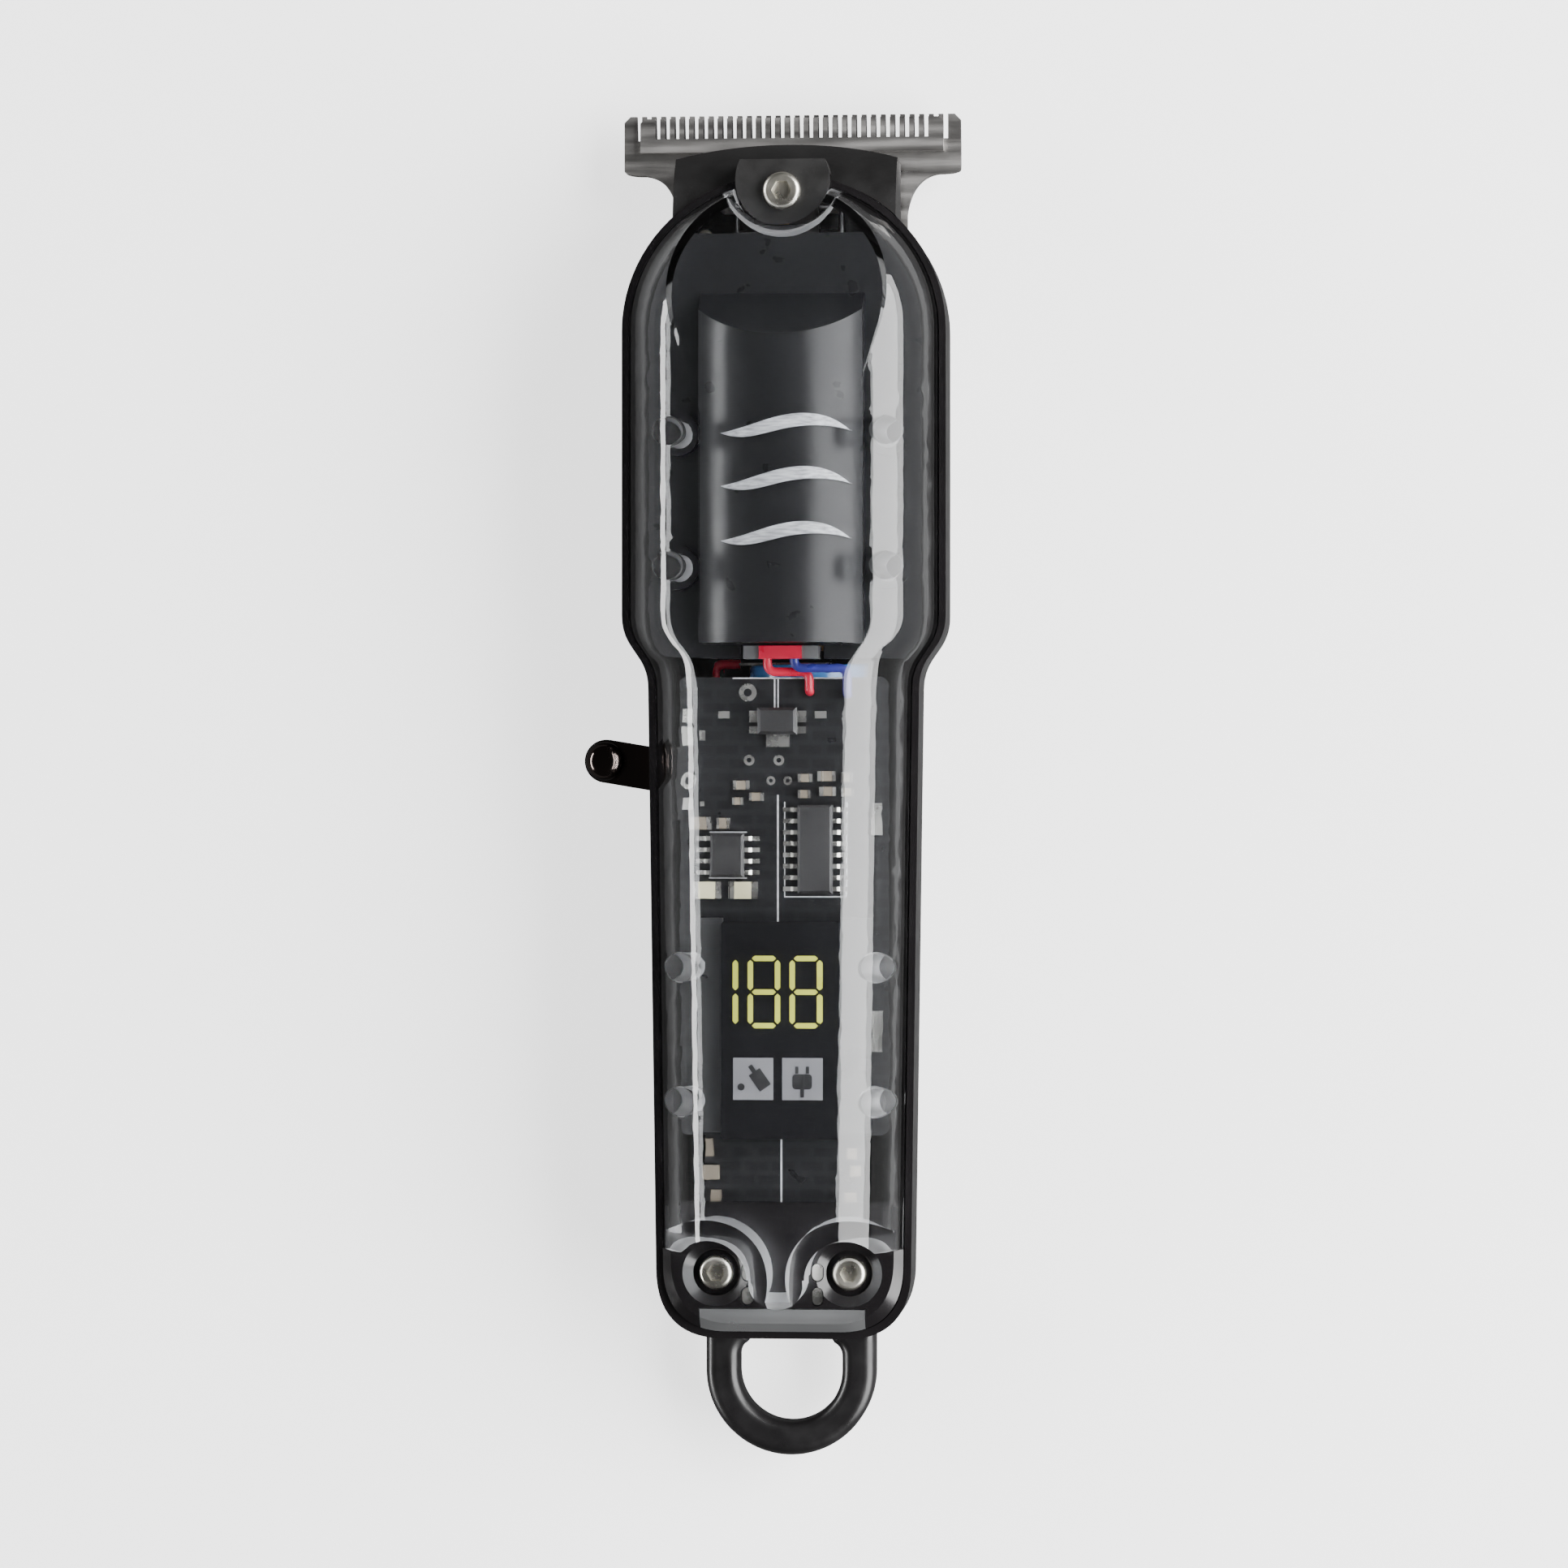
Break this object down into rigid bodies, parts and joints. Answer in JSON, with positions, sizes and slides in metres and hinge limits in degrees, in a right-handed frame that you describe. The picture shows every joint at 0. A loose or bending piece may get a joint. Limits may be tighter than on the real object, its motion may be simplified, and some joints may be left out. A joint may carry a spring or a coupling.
{
  "type": "hair clipper",
  "caption": "Cordless T-blade hair trimmer with a clear front cover, digital display, side power lever, charging socket and hanging loop.",
  "frame": {"origin": "on the flat back rest face, on the middle plane, half way along the casing's straight part", "axes": "+Y along the casing towards the blade, +Z from the back face to the clear front, +X to the right seen from the front"},
  "size_m": [0.0422, 0.1533, 0.0276],
  "materials": {
    "housing_black": "moulded satin black",
    "loop_black": "satin black",
    "head_black": "fine matt black",
    "clear": "clear polished plastic with a frosted edge",
    "frosted": "frosted clear plastic",
    "blade_steel": "ground steel",
    "screw_steel": "bright plated steel",
    "spring_steel": "bright steel",
    "nylon": "black nylon",
    "can_steel": "plated steel",
    "magnet": "sintered ferrite",
    "bronze": "bronze",
    "core_steel": "laminations and copper winding",
    "inner_black": "dark gloss",
    "cell_wrap": "shrink sleeve",
    "nickel": "tinned metal",
    "wire_red": "red insulation",
    "wire_black": "black insulation",
    "wire_blue": "blue insulation",
    "board_black": "black solder mask",
    "chip_black": "moulded epoxy",
    "ceramic": "ceramic",
    "lamp": "pale resin",
    "display_black": "dark window",
    "display_glow": "lit bars",
    "icon_pale": "pale window",
    "icon_dark": "printed",
    "lever_dark": "dark chrome",
    "slider_white": "white nylon"
  },
  "bodies": {
    "casing": {"battery_cell": "cell_wrap", "battery_tabs": "nickel", "battery_wire_black": "wire_black", "battery_wire_red": "wire_red", "blade_screws": "screw_steel", "blade_tension_spring": "spring_steel", "board_link_pins": "nickel", "board_pads": "nickel", "charge_board": "board_black", "charge_board_parts": "ceramic", "chip_16_pin": "chip_black", "chip_8_pin": "chip_black", "chip_components": "ceramic", "chip_legs": "nickel", "clear_cover": "clear", "component_terminals": "nickel", "cover_bottom_screws": "screw_steel", "cover_top_screw": "screw_steel", "display_case": "display_black", "display_segments": "display_glow", "display_side_strips": "frosted", "fixed_blade": "blade_steel", "hanging_loop": "loop_black", "head_cover": "head_black", "icon_marks": "icon_dark", "icon_tiles": "icon_pale", "lever_pivot_screw": "screw_steel", "main_board": "board_black", "motor_bracket": "spring_steel", "motor_brushes": "bronze", "motor_bushes": "bronze", "motor_can": "can_steel", "motor_cover": "inner_black", "motor_end_cap": "nylon", "motor_magnets": "magnet", "motor_plug": "wire_red", "motor_plug_clips": "frosted", "motor_screws": "screw_steel", "motor_wire_blue": "wire_blue", "motor_wire_red": "wire_red", "port_light_guide": "frosted", "power_transistor": "chip_black", "rear_housing": "housing_black", "socket_solder_lugs": "nickel", "status_lamps": "lamp", "switch_body": "chip_black", "tail_cover": "housing_black", "usb_socket_shell": "nickel", "usb_tongue": "chip_black"},
    "rotor": {"rotor_shaft": "spring_steel", "rotor_core": "core_steel", "commutator": "bronze", "eccentric_cam": "bronze"},
    "blade_drive": {"moving_blade": "blade_steel", "drive_yoke": "nylon"},
    "lever": {"power_lever": "lever_dark", "lever_knob": "lever_dark"},
    "slider": {"switch_slider": "slider_white"}
  },
  "joints": [
    {"name": "motor_spin", "type": "hinge", "parent": "casing", "child": "rotor", "pos_m": [0, 0.03, 0.0132], "axis": [0, 1, 0], "continuous": true},
    {"name": "blade_stroke", "type": "slide", "parent": "casing", "child": "blade_drive", "axis": [1, 0, 0], "range_m": [-0.001, 0.001]},
    {"name": "lever_turn", "type": "hinge", "parent": "casing", "child": "lever", "pos_m": [-0.0066, -0.0028, 0.0132], "axis": [0, 0, 1], "range_deg": [0, 24]},
    {"name": "switch_slide", "type": "slide", "parent": "casing", "child": "slider", "axis": [0, -1, 0], "range_m": [0, 0.00205]}
  ],
  "couplings": [
    {"joint": "switch_slide", "follows": "lever_turn", "m_per_rad": 0.0048811}
  ]
}
